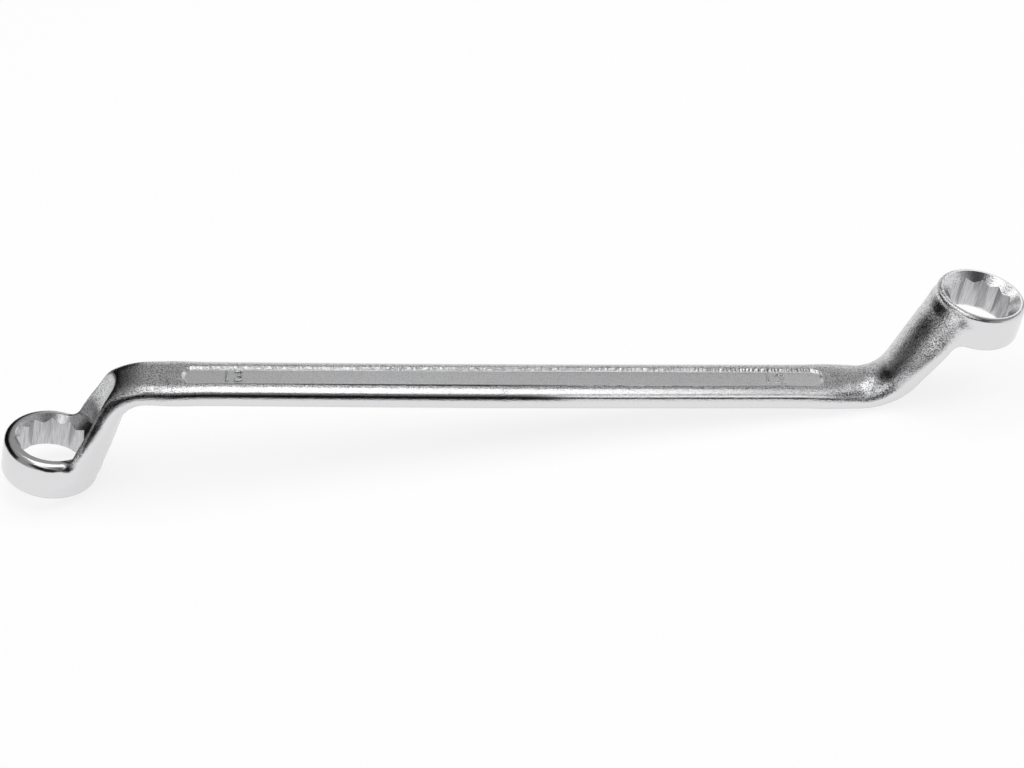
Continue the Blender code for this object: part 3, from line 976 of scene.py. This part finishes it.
class SPANNER_OT_stage(Operator):
    """Set the floor, the studio light and the camera"""

    bl_idname = "spanner.stage"
    bl_label = "Set stage"

    def execute(self, context):
        scene = context.scene
        stage = scene.spanner_stage
        self.add_floor(scene, stage)
        self.add_walls(scene, stage)
        span = (stage.softbox_width, stage.softbox_depth)
        place = (stage.softbox_x, stage.softbox_y, stage.softbox_height)
        self.add_softbox(scene, "softbox", place, span, stage.softbox)
        span = (stage.floor_light_width, stage.floor_light_width)
        place = (0, 0, stage.floor_light_height)
        floor_light = self.add_softbox(scene, "floor_light", place, span, stage.floor_light)
        floor_light.visible_glossy = False
        for name, card in CARDS.items():
            self.add_card(scene, name, card)
        self.add_camera(scene, stage)
        scene.view_settings.view_transform = "Standard"
        return {"FINISHED"}

    def add_material(self, name, values):
        """A material whose shader has the given values on its sockets."""
        material = bpy.data.materials.new(name)
        material.use_nodes = True
        shader = material.node_tree.nodes["Principled BSDF"]
        for key, value in values.items():
            shader.inputs[key].default_value = value
        return material

    def add_sheet(self, scene, name, width, depth, material):
        """A flat sheet about the origin that belongs to the studio."""
        mesh = bpy.data.meshes.new(name)
        half = (width / 2, depth / 2)
        corners = [(x * half[0], y * half[1], 0) for x, y in ((-1, -1), (1, -1), (1, 1), (-1, 1))]
        mesh.from_pydata(corners, [], [(0, 1, 2, 3)])
        mesh.materials.append(material)
        sheet = bpy.data.objects.new(name, mesh)
        scene.collection.objects.link(sheet)
        return sheet

    def add_floor(self, scene, stage):
        """A pale floor that the camera and the plate see as nearly white, with a faint shadow."""
        material = self.add_material("white_floor", {
            "Base Color": (*stage.floor, 1.0), "Roughness": 1.0, "Specular IOR Level": 0.0,
        })
        nodes = material.node_tree.nodes
        tree = Wire(material.node_tree)
        rays = ("Is Camera Ray", "Is Glossy Ray", "Is Transmission Ray")
        seen, mirrored, through = [tree.add("ShaderNodeLightPath", output=ray) for ray in rays]
        glow = tree.add("ShaderNodeEmission", None, {"Color": WHITE, "Strength": 1.0})
        lit = Wire(material.node_tree, nodes["Principled BSDF"].outputs[0])
        part = (seen + mirrored + through) * stage.floor_glow
        both = tree.add("ShaderNodeMixShader", None, {0: part, 1: lit, 2: glow})
        tree.link(both, nodes["Material Output"].inputs["Surface"])
        self.add_sheet(scene, "floor", 2 * stage.floor_size, 2 * stage.floor_size, material)

    def add_walls(self, scene, stage):
        """The room round the table."""
        world = bpy.data.worlds.new("studio")
        scene.world = world
        world.use_nodes = True
        background = world.node_tree.nodes["Background"]
        background.inputs["Color"].default_value = WHITE
        background.inputs["Strength"].default_value = stage.walls

    def add_softbox(self, scene, name, place, span, brightness):
        """A soft lamp that faces down and looks as bright as said."""
        lamp = bpy.data.lights.new(name, "AREA")
        lamp.shape = "RECTANGLE"
        lamp.size, lamp.size_y = span
        lamp.energy = brightness * span[0] * span[1] * pi
        softbox = bpy.data.objects.new(name, lamp)
        softbox.location = place
        scene.collection.objects.link(softbox)
        return softbox

    def add_card(self, scene, name, card):
        """A card that stands out of view, and that only the plate reflects."""
        material = self.add_material(name, {
            "Base Color": BLACK, "Specular IOR Level": 0.0,
            "Emission Color": WHITE, "Emission Strength": card.brightness,
        })
        sheet = self.add_sheet(scene, name, card.width * MM, (card.high - card.low) * MM, material)
        sheet.location = (card.x * MM, card.y * MM, (card.low + card.high) / 2 * MM)
        sheet.rotation_euler = (pi / 2, radians(card.tilt), radians(card.turn))
        sheet.visible_camera = False
        sheet.visible_diffuse = False
        sheet.visible_shadow = False

    def add_camera(self, scene, stage):
        """Put the camera where the spanner is seen from."""
        toward = Vector((
            sin(stage.azimuth) * cos(stage.elevation),
            -cos(stage.azimuth) * cos(stage.elevation),
            sin(stage.elevation),
        ))
        right = (-toward).cross(Vector((0, 0, 1))).normalized()
        up = right.cross(-toward)
        rolled_right = right * cos(stage.roll) + up * sin(stage.roll)
        rolled_up = up * cos(stage.roll) - right * sin(stage.roll)
        place = Vector((stage.target_x, 0, stage.target_z)) + toward * stage.distance
        lens = bpy.data.cameras.new("camera")
        lens.lens = stage.lens
        lens.sensor_width = SENSOR_WIDTH
        lens.clip_start = CLIP_START
        camera = bpy.data.objects.new("camera", lens)
        scene.collection.objects.link(camera)
        camera.matrix_world = placed(rolled_right, rolled_up, toward, place)
        scene.camera = camera


class SPANNER_PT_sidebar(Panel):
    """Buttons and settings of the spanner"""

    bl_idname = "SPANNER_PT_sidebar"
    bl_label = "Offset ring spanner"
    bl_space_type = "VIEW_3D"
    bl_region_type = "UI"
    bl_category = "Spanner"

    def draw(self, context):
        for operator in OPERATORS:
            self.layout.operator(operator.bl_idname)
        for name, group in GROUPS.items():
            box = self.layout.box()
            for key in group.__annotations__:
                box.prop(getattr(context.scene, name), key)


GROUPS = {
    "spanner_sizes": SpannerSizes,
    "spanner_ring_13": Ring13Sizes,
    "spanner_ring_12": Ring12Sizes,
    "spanner_finish": SpannerFinish,
    "spanner_stage": StageSettings,
}
OPERATORS = (SPANNER_OT_forging, SPANNER_OT_stage)
CLASSES = (*GROUPS.values(), *OPERATORS, SPANNER_PT_sidebar)


def register():
    for cls in CLASSES:
        bpy.utils.register_class(cls)
    for name, group in GROUPS.items():
        setattr(bpy.types.Scene, name, PointerProperty(type=group))


def unregister():
    for name in GROUPS:
        delattr(bpy.types.Scene, name)
    for cls in reversed(CLASSES):
        bpy.utils.unregister_class(cls)


def main():
    register()
    bpy.ops.spanner.forging()
    bpy.ops.spanner.stage()


if __name__ == "__main__":
    main()
